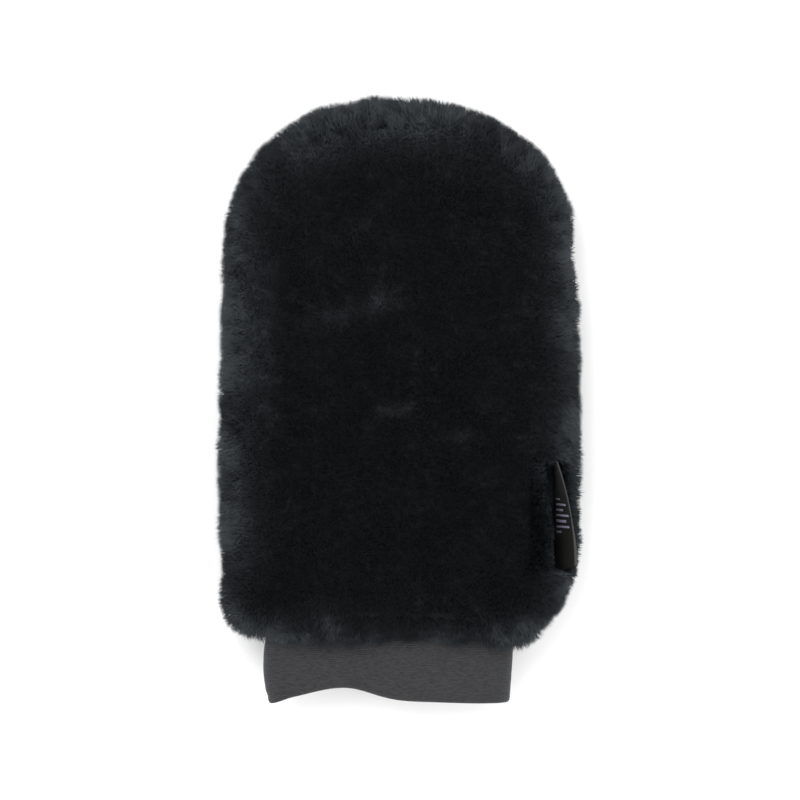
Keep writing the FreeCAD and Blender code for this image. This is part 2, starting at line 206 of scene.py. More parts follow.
def grid_faces(rows, cols, wrap_rows=False, wrap_cols=False):
    """Quads of a rows by cols grid of vertices."""
    r = np.arange(rows if wrap_rows else rows - 1)
    c = np.arange(cols if wrap_cols else cols - 1)
    r, c = np.meshgrid(r, c, indexing="ij")
    r, c = r.ravel(), c.ravel()
    r2, c2 = (r + 1) % rows, (c + 1) % cols
    return np.stack([r * cols + c, r2 * cols + c, r2 * cols + c2, r * cols + c2], 1)


# ---------- materials

def new_material(name, colour, rough, spec=0.5):
    """A Principled material with plain values, and the handles to its nodes."""
    material = bpy.data.materials.new(name)
    material.use_nodes = True
    nodes, links = material.node_tree.nodes, material.node_tree.links
    shader = nodes["Principled BSDF"]
    shader.inputs["Base Color"].default_value = (*colour, 1)
    shader.inputs["Roughness"].default_value = rough
    shader.inputs["Specular IOR Level"].default_value = spec
    return material, nodes, links, shader


def add_sheen(shader, weight, tint, rough=0.4):
    shader.inputs["Sheen Weight"].default_value = weight
    shader.inputs["Sheen Tint"].default_value = (*tint, 1)
    shader.inputs["Sheen Roughness"].default_value = rough


def add_node(nodes, kind, values=None, **settings):
    """A shader node of one kind, with its settings and the values of its inputs."""
    node = nodes.new("ShaderNode" + kind)
    for name, value in settings.items():
        setattr(node, name, value)
    for name, value in (values or {}).items():
        node.inputs[name].default_value = value
    return node


def add_bump(nodes, links, shader, height, strength, depth):
    """Let one output stand up from the surface by depth mm."""
    bump = add_node(nodes, "Bump", {"Strength": strength, "Distance": depth * MM})
    links.new(height, bump.inputs["Height"])
    links.new(bump.outputs["Normal"], shader.inputs["Normal"])


def add_blend(nodes, links, shader, factor, colour, accent):
    """Let one output blend the surface between two colours."""
    blend = add_node(nodes, "Mix", {"A": (*colour, 1), "B": (*accent, 1)}, data_type="RGBA")
    links.new(factor, blend.inputs["Factor"])
    links.new(blend.outputs["Result"], shader.inputs["Base Color"])


# ---------- pile

RADIUS_IN = ROOT_RISE - HALF_GAP  # rounding at the roots
RADIUS_OUT = TIP_RISE - HALF_GAP  # rounding at the tips
CENTRE = ROOT + RADIUS_IN         # inset of the centre of both
UNDER_DEPTH = 7.6                 # how deep the closed mass of underfur is
PILE_TINT = (0.86, 1.0, 1.13)     # black fibre with a cold cast
PILE_DARKEST, PILE_STEP, PILE_COUNT = 0.0042, 1.36, 10   # the ladder of shades
PILE_DEEP, PILE_PAINTED_RIM_LIGHT = 0.0098, 0.0272   # the fibre's own level in the middle, and how much painted rim light is added round the rim
BAND_EXTRA = 1.5                  # more roots on the rounded edge, where the fibres fan out
FIBRE_LONG = 12.2                 # mm, on the flat
FIBRE_STOPS = (0.0, 0.42, 0.74, 1.0)
FIBRE_WIDTHS = (0.36, 0.34, 0.26, 0.0)
FIBRES_EACH = 12000               # fibres in one piece
FLOOR_GAP = 0.35                  # the least height of a tip over the surface that the mitt lies on
PARTING_X = 70.4                  # where the fibres outside the label are rooted

# places painted lighter, a painted highlight where the pile is ruffled, or darker, a painted shade where it
# lies flat:
# x, y, half length, half width, slant in degrees, gain
PAINTED_LIGHT_PATCHES = (
    (-30, 37, 15, 5, 20, 0.70),
    (-9, 44, 9, 5, 30, 1.10),
    (-1, -4.5, 9, 2.6, 4, 1.35),
    (26, -17.5, 8, 2.6, -6, 1.15),
    (-39, -4, 6, 3.5, 0, 0.45),
    (-14, 82, 8, 5, 60, 0.30),
    (3, 22, 8, 3, 20, 0.30),
    (44, -1, 12, 8, 0, 0.18),
    (-30, -99, 6, 10, 15, 0.85),
    (-67, 32, 9, 22, 0, 0.95),
    (-71, -26, 7, 10, 0, 0.75),
    (-72, -60, 6, 14, 0, 0.35),
    (-66, 92, 6, 14, -25, 0.35),
    (71, 36, 7, 14, 0, 0.55),
    (71, -14, 9, 12, 0, 0.55),
    (62, -17, 10, 8, 0, 0.35),
    (68, 78, 6, 22, 8, 0.50),
    (67, -84, 4.5, 6, 0, 1.00),
    (-60, -98, 14, 4, -18, 1.30),
    (-50, -100.5, 9, 4, 0, 1.20),
    (-12, -100.5, 7, 3, 0, 0.80),
    (18, -100, 8, 4, 20, 0.55),
    (43, -100.5, 8, 5, -30, 1.25),
    (55, -97, 7, 4, 0, 0.80),
    (2, 122, 30, 7, 0, 0.32),
    (-40, 112, 14, 6, 30, 0.20),
    (-60, 98, 22, 20, 0, -0.65),
    (38, 115, 14, 8, 0, -0.60),
    (-70, -7, 7, 7, 0, -0.60),
    (-70, -80, 6, 12, 0, -0.60),
    (71, 9, 7, 7, 0, -0.55),
    (60, -86, 13, 12, 0, -0.50),
    (-4, -102, 26, 5, 0, -0.45),
)

# places where the pile stands longer or shorter on the rim: x, y, radius, mm
SWELLS = (
    (-82, -30, 40, 2.4),
    (-81, 68, 15, -2.2),
    (-82, -84, 9, -1.8),
    (-69, -97, 7, 3.0),
    (-60, -101, 6.5, -3.4),
    (-24, 132, 38, 2.3),
    (82, -18, 36, 1.9),
    (80, 66, 15, -5.2),
    (80, 46, 6, 1.4),
    (79, -84, 12, -2.2),
    (56, -99, 7, 2.4),
    (-41, -101, 8, 2.0),
    (7, -101, 11, -2.2),
    (46, -101, 9, 3.6),
)


def smooth(value, low, high):
    """0 at low, 1 at high, with no corner at either end."""
    part = np.clip((value - low) / (high - low), 0, 1)
    return part * part * (3 - 2 * part)


def pile_materials():
    """Ten lit and shaded copies of the same dyed fibre, each a fixed step lighter and a little glossier
    than the last.
    """
    shades = []
    for number in range(PILE_COUNT):
        level = PILE_DARKEST * PILE_STEP ** number
        colour = tuple(level * tint for tint in PILE_TINT)
        share = number / (PILE_COUNT - 1)
        material, _, _, shader = new_material(
            "pile_lit_and_shaded_%02d" % (number + 1), colour, 0.72 - 0.10 * share, 0.03 + 0.12 * share
        )
        add_sheen(shader, 0.02 * share, (0.62, 0.80, 1.0), 0.35)
        shades.append(material)
    return shades


PILE_LIT_AND_SHADED = pile_materials()


def shade_index(level):
    """The place on the ladder of shades, not yet rounded, of each lightness."""
    return np.log(level / PILE_DARKEST) / math.log(PILE_STEP)


def pile_level(x, y, tip_inset, seed):
    """The pile's lightness at each place: its own dark level in the middle, painted rim light greyer round
    the rim, and painted highlight and shade in patches.
    """
    # how near each place is to the four sides, from 0 to 1
    top = smooth(y, 70, 125)
    low = smooth(-y, 70, 104)
    left, right = smooth(-x, 30, 75), smooth(x, 30, 75)
    # how far in from the rim the painted rim light fades out, in mm, and how strong it is
    reach = 10.5 + 6.0 * left * (1 - low) - 2.0 * right + 10.0 * top - 2.5 * low
    reach = reach * (1 + 0.28 * noise(x, y, 34, seed + 31))
    gain = PILE_PAINTED_RIM_LIGHT * (1 - 0.18 * left) * (1 - 0.62 * low * (1 - np.maximum(left, right)))
    gain = gain * (0.55 + 0.53 * smooth(tip_inset, -0.5, 5.0)) * (1 + 0.30 * noise(x, y, 13, seed + 34))
    painted_rim_light = gain * np.exp(-(np.maximum(tip_inset, 0) / reach) ** 1.5)
    # the strongest painted highlight at each place, and the strongest painted shade
    lift = np.zeros(len(x))
    calm = np.ones(len(x))
    for cx, cy, long, wide, slant, amount in PAINTED_LIGHT_PATCHES:
        turn = math.radians(slant)
        u = (x - cx) * math.cos(turn) + (y - cy) * math.sin(turn)
        v = (y - cy) * math.cos(turn) - (x - cx) * math.sin(turn)
        share = amount * np.exp(-(u / long) ** 2 - (v / wide) ** 2)
        lift = np.maximum(lift, share)
        calm = np.minimum(calm, 1 + share)
    level = PILE_DEEP + painted_rim_light * calm
    level = level * (1 + 0.12 * smooth(y, -20, 100) + 0.05 * noise(x, y, 22, seed + 32))
    return level * (1 + lift * (1.0 + 0.85 * noise(x, y, 3.2, seed + 33)))


def cuff_height(x, spare=0.0):
    """Half the height of the cuff's outside at x, or 0 beyond it."""
    dx = np.abs(x - CUFF_X)
    middle = np.sqrt(np.maximum(CUFF_FLAT ** 2 - dx ** 2, 0)) - (CUFF_FLAT - CUFF_RISE)
    side = np.sqrt(np.maximum(CUFF_END ** 2 - (dx - CUFF_REACH) ** 2, 0))
    return np.where(dx < CUFF_REACH, middle, np.where(dx < CUFF_HALF, side, 0)) + spare


def label_zone(y):
    """1 beside the label, fading to 0 just past its two ends."""
    return 1 - smooth(np.abs(y - LABEL_Y), LABEL_LONG / 2 - 1, LABEL_LONG / 2 + 2.5)


def label_lean(u):
    """The label's angle from the level, in degrees, at rest: it stands more upright at its upper end."""
    part = np.clip((u + LABEL_LONG / 2) / LABEL_LONG, 0, 1)
    return LABEL_ANGLE + 5.5 + 23.8 * part ** 1.9


def pile_roots(per_mm2, rng):
    """Roots of one panel's pile: place, outward direction in the plane, angle from the level, uv, inset."""
    gaps = np.linalg.norm(np.diff(EDGE, axis=0, append=EDGE[:1]), axis=1)
    total = gaps.sum()
    # the rounded band round the edge
    count = int(per_mm2 * total * RADIUS_IN * math.pi / 2 * BAND_EXTRA)
    pick = rng.choice(len(EDGE), size=count, p=gaps / total)
    slide = rng.rand(count)
    after = (pick + 1) % len(EDGE)
    base = EDGE[pick] * (1 - slide[:, None]) + EDGE[after] * slide[:, None]
    out = EDGE_OUT[pick] * (1 - slide[:, None]) + EDGE_OUT[after] * slide[:, None]
    out = unit(out)
    turn = rng.rand(count) * math.pi / 2
    inset = CENTRE - RADIUS_IN * np.cos(turn)
    # corners shorten the line of roots as they move inwards
    curve = np.linalg.norm(EDGE_OUT[after] - EDGE_OUT[pick], axis=1) / gaps[pick]
    keep = rng.rand(count) < np.clip(1.35 - curve * inset, 0.5, 1)
    base, out, turn, inset, pick, slide = (
        a[keep] for a in (base, out, turn, inset, pick, slide)
    )
    along = np.concatenate([[0], np.cumsum(gaps)[:-1]])[pick] + slide * gaps[pick]
    band_xy = base - out * inset[:, None]
    band = np.column_stack([band_xy, HALF_GAP + RADIUS_IN * np.sin(turn)])
    # the band's own pattern space, shrunk to the middle of the band and set well away from the flat's
    band_uv = np.column_stack([along * 0.86, RADIUS_IN * turn + 3000])
    # the flat
    wide, high = 2 * HALF, CROWN_Y - WRIST_Y
    count = int(per_mm2 * wide * high)
    x = (rng.rand(count) * 2 - 1) * HALF
    y = WRIST_Y + rng.rand(count) * high
    flat_inset, flat_out = inset_of(x, y)
    keep = flat_inset > CENTRE
    x, y, flat_inset, flat_out = x[keep], y[keep], flat_inset[keep], flat_out[keep]
    flat = np.column_stack([x, y, np.full(len(x), ROOT_RISE)])
    root = np.concatenate([band, flat])
    out = np.concatenate([out, flat_out])
    turn = np.concatenate([turn, np.full(len(x), math.pi / 2)])
    uv = np.concatenate([band_uv, np.column_stack([x, y])])
    inset = np.concatenate([inset, flat_inset])
    return root, out, turn, uv, inset


def over_cuff(root, turn):
    """Roots that would be in the cuff's mouth lie over the cuff instead, and their fibres hang past it."""
    x, y, rise = root[:, 0], root[:, 1], root[:, 2]
    top = cuff_height(x, 0.9)
    inside = (y < CUFF_TOP_Y + 3.0) & (rise < top) & (np.abs(x - CUFF_X) < CUFF_HALF)
    root[inside, 2] = top[inside]
    turn[inside] = math.radians(13.0) + 0.62 * turn[inside]
    return inside


def beside_label(side, root, out, turn, inset, rng):
    """Parts the fibres where the label comes out of the seam, and moves the roots outside it.

    Gives their angles in radians from the level, how much each belongs to the parting, and how
    much shorter each one is.
    """
    # the tips of the two panels mingle over the seam
    mingled = math.radians(11.0) * rng.rand(len(turn)) * (1 - smooth(turn, 0.0, math.radians(18.0)))
    angle = side * (turn - mingled)
    zone = label_zone(root[:, 1]) * smooth(root[:, 0], 40, 52) * (out[:, 0] > 0.9)
    lean = np.radians(label_lean(root[:, 1] - LABEL_Y))
    free = rng.rand(len(turn))
    # under the label the fibres fan out between the seam and the lowest place that the label swings to
    part = smooth(root[:, 1] - LABEL_Y, -5.0, LABEL_LONG / 2)
    under = lean - np.radians(36.0 - 15.0 * part)
    if side > 0:
        upright = lean + np.radians(11.0 + 11.0 * free)
        zone = zone * (1 - smooth(inset, CENTRE - 1, CENTRE + 3))
        outside = (turn < math.radians(34.0)) & (zone > 0.5)
        angle = np.where(outside, under * free ** 0.95, angle + np.maximum(upright - angle, 0) * zone)
        root[outside, 0] = PARTING_X
        root[outside, 2] = HALF_GAP + 0.35 * free[outside]
    else:
        angle = angle + (under * free - angle) * zone * (1 - smooth(turn, 0.0, math.radians(50.0)))
        outside = zone > 0.5
    # what stands close to the label is short
    before = 0.42 * smooth(angle, lean - math.radians(35.0), lean - math.radians(19.0)) * outside
    behind = 0.35 * zone * (1 - smooth(angle, lean, lean + 0.35)) * (side > 0)
    return angle, zone, np.where(angle < lean, before, behind)


def clump_centres(uv, size, seed):
    """The nearest point of a jittered grid to each root, and a number for each point."""
    cell = np.floor(uv / size)
    best = np.full(len(uv), 1e9)
    centre = np.zeros_like(uv)
    tag = np.zeros(len(uv))
    for i in (-1, 0, 1):
        for j in (-1, 0, 1):
            cx, cy = cell[:, 0] + i, cell[:, 1] + j
            px = (cx + 0.15 + 0.7 * hash01(cx, cy, seed)) * size
            py = (cy + 0.15 + 0.7 * hash01(cx, cy, seed + 1)) * size
            gap = (px - uv[:, 0]) ** 2 + (py - uv[:, 1]) ** 2
            nearer = gap < best
            best = np.where(nearer, gap, best)
            centre[nearer] = np.column_stack([px, py])[nearer]
            tag = np.where(nearer, hash01(cx, cy, seed + 2), tag)
    return centre - uv, tag


def fibre_lines(side, root, out, turn, uv, inset, seed, rng):
    """Four points along every fibre, from its root to its tip."""
    count = len(root)
    x, y = root[:, 0], root[:, 1]
    hung = over_cuff(root, turn)
    angle, zone, pressed = beside_label(side, root, out, turn, inset, rng)
    root = np.column_stack([root[:, :2], SEAM_Z + side * root[:, 2]])
    way = np.column_stack([out * np.cos(angle)[:, None], np.sin(angle)])
    round_way = np.column_stack([-out[:, 1], out[:, 0], np.zeros(count)])
    up_way = -np.cross(way, round_way)
    band = inset < CENTRE
    round_way[~band] = [1.0, 0.0, 0.0]
    up_way[~band] = [0.0, 1.0, 0.0]

    # where the pile leans: slow drifts, a little towards the wrist
    lean = np.zeros((count, 3))
    lean[:, 0] = 0.20 * noise(x, y, 34, seed + 3) + 0.12 * noise(x, y, 11, seed + 4)
    lean[:, 1] = 0.20 * noise(x, y, 31, seed + 5) + 0.12 * noise(x, y, 10, seed + 6) - 0.08
    calm = 1 - 0.7 * zone
    lean = square_to(way, lean) * calm[:, None]

    # clumps of three sizes draw the tips of their fibres together
    shift, tag = clump_centres(uv, 4.2, seed + 7)
    fine_shift, _ = clump_centres(uv, 1.5, seed + 17)
    tuft_shift, tuft = clump_centres(uv, 8.0, seed + 27)
    spread = np.where(band, RADIUS_OUT / RADIUS_IN, 1.0)
    draw = shift * ((0.10 + 0.22 * tag) * spread)[:, None] + fine_shift * (0.34 * spread)[:, None]
    draw = draw + tuft_shift * (0.10 * spread)[:, None]
    draw = round_way * draw[:, :1] + up_way * draw[:, 1:]

    # lengths: swells and tufts round the rim, scatter everywhere, and uneven lobes over the cuff
    swell = sum(size * np.exp(-((x - cx) ** 2 + (y - cy) ** 2) / r ** 2) for cx, cy, r, size in SWELLS)
    length = FIBRE_LONG + (1.5 + swell + 1.7 * (tuft - 0.55)) * (1 - smooth(inset, ROOT, CENTRE))
    length = length + 0.65 * noise(x, y, 7, seed + 8) + 1.0 * (tag - 0.5) + 1.1 * (rng.rand(count) - 0.7)
    length = np.where(rng.rand(count) < 0.03, length + 0.9 * rng.rand(count), length)
    lobes = noise(x, y * 0.3, 6.5, seed + 41) + 0.6 * noise(x, y * 0.3, 2.6, seed + 42)
    length = np.where(hung, length - 0.6 + 1.8 * lobes + 1.2 * (rng.rand(count) - 0.5), length)
    length = length * (1 - pressed)

    # each fibre strays from its neighbours towards its tip, and bows to one side
    wild = square_to(way, rng.randn(count, 3))
    crimp = square_to(way, rng.randn(count, 3))
    rows = []
    for stop in FIBRE_STOPS:
        bend = stop * stop
        point = root + way * (length * stop * (1 - 0.08 * bend))[:, None]
        point = point + lean * (length * bend)[:, None]
        point = point + draw * bend * calm[:, None]
        point = point + wild * (0.12 * length * stop ** 3 * calm)[:, None]
        point = point + crimp * (0.42 * math.sin(stop * 2 * math.pi * 0.9))
        rows.append(point)
    rows = np.stack(rows, 1)
    # nothing goes below the surface that the mitt lies on
    rows[:, :, 2] = np.maximum(rows[:, :, 2], FLOOR_GAP + 0.5 * rng.rand(count)[:, None])
    return rows, tag


def fibre_mesh(rows, rng):
    """Ten vertices for every fibre: three rings of three and a tip."""
    count = len(rows)
    heading = unit(rows[:, -1] - rows[:, 0])
    across = unit(np.cross(heading, rng.randn(count, 3)))
    other = np.cross(heading, across)
    thick = 0.80 + 0.45 * rng.rand(count)
    verts = np.empty((count, 10, 3))
    for ring in range(3):
        for corner in range(3):
            angle = corner * 2 * math.pi / 3
            offset = across * math.cos(angle) + other * math.sin(angle)
            verts[:, ring * 3 + corner] = rows[:, ring] + offset * (thick * FIBRE_WIDTHS[ring] / 2)[:, None]
    verts[:, 9] = rows[:, 3]
    return verts


def build_pile(side, name, per_mm2, seed):
    """All the fibres of one panel, in several pieces."""
    rng = np.random.RandomState(seed)
    root, out, turn, uv, inset = pile_roots(per_mm2, rng)
    rows, tag = fibre_lines(side, root, out, turn, uv, inset, seed, rng)
    verts = fibre_mesh(rows, rng)

    # the tone, with its painted rim light, highlight and shade, belongs to the place where the tip is
    tip_inset = np.where(inset < CENTRE, CENTRE - (CENTRE - inset) * RADIUS_OUT / RADIUS_IN, inset)
    level = pile_level(root[:, 0], root[:, 1], tip_inset, seed)
    rim = smooth(level, 0.010, 0.030)
    mottle = (0.07 + 0.40 * rim) * noise(uv[:, 0], uv[:, 1], 2.6, seed + 12)
    mottle = mottle + (0.05 + 0.42 * rim) * noise(uv[:, 0], uv[:, 1], 1.5, seed + 14)
    mottle = mottle + (0.04 + 0.36 * rim) * (tag - 0.5)
    mottle = mottle + 0.22 * rim * noise(uv[:, 0], uv[:, 1], 6.0, seed + 13)
    index = shade_index(level * np.exp(mottle)) + (0.30 + 0.25 * rim) * rng.randn(len(root))

    # the faces of one fibre: two sleeves of three quads, the tip's three triangles and the root's end
    pattern = []
    for ring in range(2):
        for corner in range(3):
            a, b = ring * 3 + corner, ring * 3 + (corner + 1) % 3
            pattern.append((a, b, b + 3, a + 3))
    quads = np.array(pattern)
    tips = np.array([(6, 7, 9), (7, 8, 9), (8, 6, 9), (2, 1, 0)])
    # root faces sit lower on the ladder, a painted shade deep in the pile, and round the rim the tip faces
    # sit higher, a painted highlight
    low = np.clip(np.round(index - 0.8 - 0.8 * rim), 0, PILE_COUNT - 1).astype(int)
    mid = np.clip(np.round(index), 0, PILE_COUNT - 1).astype(int)
    tip = np.clip(np.round(index + 0.8 * rim), 0, PILE_COUNT - 1).astype(int)
    quad_shade = np.column_stack([low, low, low, mid, mid, mid])
    tip_shade = np.column_stack([tip, tip, tip, low])

    pieces = []
    order = np.lexsort((root[:, 0], np.floor(root[:, 1] / 40)))
    for number, start in enumerate(range(0, len(root), FIBRES_EACH)):
        chosen = order[start:start + FIBRES_EACH]
        base = (np.arange(len(chosen)) * 10)[:, None, None]
        quad = (quads[None] + base).reshape(-1, 4)
        tri = (tips[None] + base).reshape(-1, 3)
        slots = np.concatenate([quad_shade[chosen].ravel(), tip_shade[chosen].ravel()])
        piece = mesh_object(
            "%s_%02d" % (name, number + 1), verts[chosen].reshape(-1, 3), [quad, tri],
            slots=slots, materials=PILE_LIT_AND_SHADED,
        )
        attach(piece, "mitt")
        pieces.append(piece)
    return pieces


front_fibres = build_pile(1, "front_fibres", 3.6, 11)
back_fibres = build_pile(-1, "back_fibres", 1.9, 47)
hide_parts("front_pile")
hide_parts("back_pile")


def towards_spine(last, part):
    """A copy of a ring of points, drawn part of the way in to the panel's middle line."""
    ring = last.copy()
    ring[:, 0] = last[:, 0] * (1 - part)
    ring[:, 1] = last[:, 1] + (np.clip(last[:, 1], SPINE_LOW_Y, SPINE_HIGH_Y) - last[:, 1]) * part
    return ring


def in_mouth(middle, lift, spare=0.0):
    """Which faces, by their middles and their heights off the seam plane, the cuff's mouth takes away."""
    edge = cuff_height(middle[:, 0], spare)
    return (middle[:, 1] < CUFF_TOP_Y) & (lift < edge) & (edge > spare)


def build_underfur(side, seed):
    """The closed mass of short fibre between the backing and the tips, rough on its outside."""
    edge_xy, out = EDGE[::2], EDGE_OUT[::2]
    cols = len(edge_xy)
    rings, levels = [], []

    def ring_at_turn(turn, depth):
        ring = edge_xy - out * (CENTRE - (RADIUS_IN + depth) * math.cos(turn))[:, None]
        return np.column_stack([ring, HALF_GAP + (RADIUS_IN + depth) * math.sin(turn)])

    edge_x, edge_y = edge_xy[:, 0], edge_xy[:, 1]
    around = np.arange(cols) * 1.0
    # on the front it is thin where the label has to turn
    open_label = label_zone(edge_y) * (edge_x > 40)
    for turn in np.linspace(0, math.pi / 2, 34):
        deep = np.full(cols, UNDER_DEPTH)
        if side > 0:
            shut = smooth(turn, math.radians(68), math.radians(88))
            deep = deep * (1 - 0.93 * open_label * (1 - shut))
        deep = deep + 0.45 * noise(around, np.full(cols, turn * 20.0), 2.4, seed)
        rings.append(ring_at_turn(turn, deep))
        levels.append(CENTRE - RADIUS_OUT * math.cos(turn) + np.zeros(cols))
    last = rings[-1]
    for part in np.linspace(0, 1, 65)[1:]:
        ring = towards_spine(last, part)
        settle = smooth(np.full(cols, part), 0.0, 0.2)
        ring[:, 2] = last[:, 2] + (HALF_GAP + RADIUS_IN + UNDER_DEPTH - last[:, 2]) * settle
        ring[:, 2] += 0.5 * noise(ring[:, 0], ring[:, 1], 2.4, seed + 1) * settle
        rings.append(ring)
        levels.append(CENTRE + np.zeros(cols) + part * 60)
    outer = np.stack(rings)
    # the inside, among the roots
    rings = [ring_at_turn(turn, np.full(cols, -0.35)) for turn in np.linspace(0, math.pi / 2, 9)]
    last = rings[-1]
    rings += [towards_spine(last, part) for part in np.linspace(0, 1, 9)[1:]]
    inner = np.stack(rings)
    grid = np.concatenate([inner[::-1], outer])
    verts = grid.reshape(-1, 3).copy()
    rise = verts[:, 2].copy()
    verts[:, 2] = SEAM_Z + side * rise
    faces = grid_faces(len(grid), cols, wrap_cols=True)
    middle = verts[faces].mean(axis=1)
    mouth = in_mouth(middle, rise[faces].mean(axis=1), 0.6)
    depth = np.concatenate([np.full(cols * len(inner), CENTRE), np.concatenate(levels)])
    level = pile_level(middle[:, 0], middle[:, 1], depth[faces].mean(axis=1), seed + 2)
    rng = np.random.RandomState(seed)
    # the underfur takes the pile's painted rim light and sits about a step darker, a painted shade deep in
    # the pile
    shade = np.clip(np.round(shade_index(level) - 0.9 + 0.5 * rng.randn(len(faces))), 0, PILE_COUNT - 1)
    if side > 0:
        faces = faces[:, ::-1]
    return verts, faces[~mouth], shade[~mouth]


for side, word, seed in ((1, "front", 211), (-1, "back", 247)):
    verts, faces, shade = build_underfur(side, seed)
    underfur = mesh_object(word + "_underfur", verts, [faces], slots=shade, materials=PILE_LIT_AND_SHADED)
    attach(underfur, "mitt")


# ---------- cloth layers of each panel

CLOTH_STEP = max(1, len(EDGE) // 700)   # cloth takes every so many points of the outline
DOME_ROWS, DOME_CAP = 16, 26            # rings over the rounded edge and across the flat


def dome(side, edge, top, wrinkle, seed):
    """A tray-shaped surface: up over the rounded edge, then in across the flat."""
    edge_xy, out = EDGE[::CLOTH_STEP], EDGE_OUT[::CLOTH_STEP]
    cols = len(edge_xy)
    radius = top - HALF_GAP
    rings = []
    for row in range(DOME_ROWS + 1):
        turn = math.pi / 2 * row / DOME_ROWS
        inset = edge + radius - radius * math.cos(turn)
        height = np.full(cols, HALF_GAP + radius * math.sin(turn))
        rings.append(np.column_stack([edge_xy - out * inset, height]))
    last = rings[-1]
    rings += [towards_spine(last, row / DOME_CAP) for row in range(1, DOME_CAP + 1)]
    grid = np.stack(rings)
    # broad wrinkles, then finer ones on a slant, none of them at the edge
    x, y = grid[:, :, 0], grid[:, :, 1]
    broad = wrinkle * (0.5 + 0.5 * noise(x, y, 19, seed))
    fine = wrinkle * 0.5 * (0.5 + 0.5 * noise(x * 0.4 + y, y * 1.6, 8, seed + 1))
    for sag in (broad, fine):
        grid[:, :, 2] -= sag * np.clip(grid[:, :, 2] / top, 0, 1)
    verts = grid.reshape(-1, 3).copy()
    rise = verts[:, 2].copy()
    verts[:, 2] = SEAM_Z + side * rise
    faces = grid_faces(len(grid), cols, wrap_cols=True)
    faces = faces[~in_mouth(verts[faces].mean(axis=1), rise[faces].mean(axis=1))]
    if side < 0:
        faces = faces[:, ::-1]
    return verts, faces


def flange(side, level, outer, inner, ripple=0.0):
    """The seam allowance: a flat band just inside the seam."""
    edge_xy, out = EDGE[::CLOTH_STEP], EDGE_OUT[::CLOTH_STEP]
    rings = []
    for part in np.linspace(0, 1, 7):
        inset = outer + (inner - outer) * part
        ring = edge_xy - out * inset
        along = np.arange(len(ring))
        bump = ripple * part * np.sin(along * 0.19 + 3 * np.sin(along * 0.023))
        rings.append(np.column_stack([ring, SEAM_Z + side * (level + bump)]))
    grid = np.stack(rings)
    verts = grid.reshape(-1, 3)
    faces = grid_faces(len(rings), len(edge_xy), wrap_cols=True)
    middle = verts[faces].mean(axis=1)
    mouth = (middle[:, 1] < CUFF_TOP_Y) & (np.abs(middle[:, 0] - CUFF_X) < CUFF_HALF - 1)
    faces = faces[~mouth]
    return verts, faces[:, ::-1] if side > 0 else faces


def join_meshes(parts):
    """Several meshes as one, each given as its vertices and its faces."""
    verts, faces, base = [], [], 0
    for part_verts, part_faces in parts:
        verts.append(part_verts)
        faces.append(np.asarray(part_faces) + base)
        base += len(part_verts)
    return np.concatenate(verts), np.concatenate(faces)


def knit_material(name, colour, accent, pitch, rough, depth, fleck=(900.0, 900.0, 900.0)):
    """Cloth of fine loops: flecks of two shades, wales and courses as bump."""
    material, nodes, links, shader = new_material(name, colour, rough, 0.25)
    add_sheen(shader, 0.15, (0.8, 0.85, 0.9), 0.5)
    coords = add_node(nodes, "TexCoord")
    waves = [
        add_node(
            nodes, "TexWave", {"Scale": 1000.0 / pitch / 3.2, "Distortion": distortion},
            wave_type="BANDS", bands_direction=direction,
        )
        for direction, distortion in (("X", 0.6), ("Y", 0.4))
    ]
    fuzz = add_node(nodes, "TexNoise", {"Scale": 900.0, "Detail": 3.0})
    for node in (*waves, fuzz):
        links.new(coords.outputs["Object"], node.inputs["Vector"])
    weave = add_node(nodes, "Math", operation="MULTIPLY")
    for index, wave in enumerate(waves):
        links.new(wave.outputs["Fac"], weave.inputs[index])
    total = add_node(nodes, "Math", operation="MULTIPLY_ADD")
    total.inputs[1].default_value = 0.35
    links.new(fuzz.outputs["Fac"], total.inputs[0])
    links.new(weave.outputs[0], total.inputs[2])
    add_bump(nodes, links, shader, total.outputs[0], 0.7, depth)
    place = add_node(nodes, "Mapping", {"Scale": fleck})
    links.new(coords.outputs["Object"], place.inputs["Vector"])
    mottle = add_node(nodes, "TexNoise", {"Scale": 1.0, "Detail": 4.0, "Roughness": 0.75})
    links.new(place.outputs["Vector"], mottle.inputs["Vector"])
    contrast = add_node(nodes, "MapRange", {"From Min": 0.36, "From Max": 0.64})
    links.new(mottle.outputs["Fac"], contrast.inputs["Value"])
    add_blend(nodes, links, shader, contrast.outputs["Result"], colour, accent)
    return material


backing_cloth = knit_material("backing_knit", (0.012, 0.014, 0.016), (0.022, 0.025, 0.028), 1.1, 0.85, 0.25)
lining_cloth = knit_material("lining_tricot", (0.022, 0.024, 0.027), (0.038, 0.041, 0.045), 0.7, 0.75, 0.12)
BACKING_IN, LINING_IN = 0.7, 2.1   # how far each lies inside the pile's roots

for side, word in ((1, "front"), (-1, "back")):
    shell = dome(side, ROOT + BACKING_IN, ROOT_RISE - BACKING_IN, wrinkle=0.25, seed=21 + side)
    fold = flange(side, 0.65, ROOT + BACKING_IN + 0.2, 19.6)
    verts, faces = join_meshes([shell, fold])
    backing = mesh_object(word + "_backing_cloth", verts, [faces], materials=[backing_cloth])
    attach(backing, "mitt")
    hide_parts(word + "_backing")
    shell = dome(side, ROOT + LINING_IN, ROOT_RISE - LINING_IN, wrinkle=0.7, seed=31 + side)
    fold = flange(side, 1.85, ROOT + LINING_IN + 0.2, 19.9, ripple=0.15)
    verts, faces = join_meshes([shell, fold])
    lining = mesh_object(word + "_lining_cloth", verts, [faces], materials=[lining_cloth])
    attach(lining, "mitt")
    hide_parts(word + "_lining")


# ---------- cuff

DIP_X, DIP_RISE = -25.0, 7.2       # where the folded edge is pulled up the most, and how far
DIP_LEFT, DIP_RIGHT = 22.0, 18.0   # how wide the pull is on each side of that


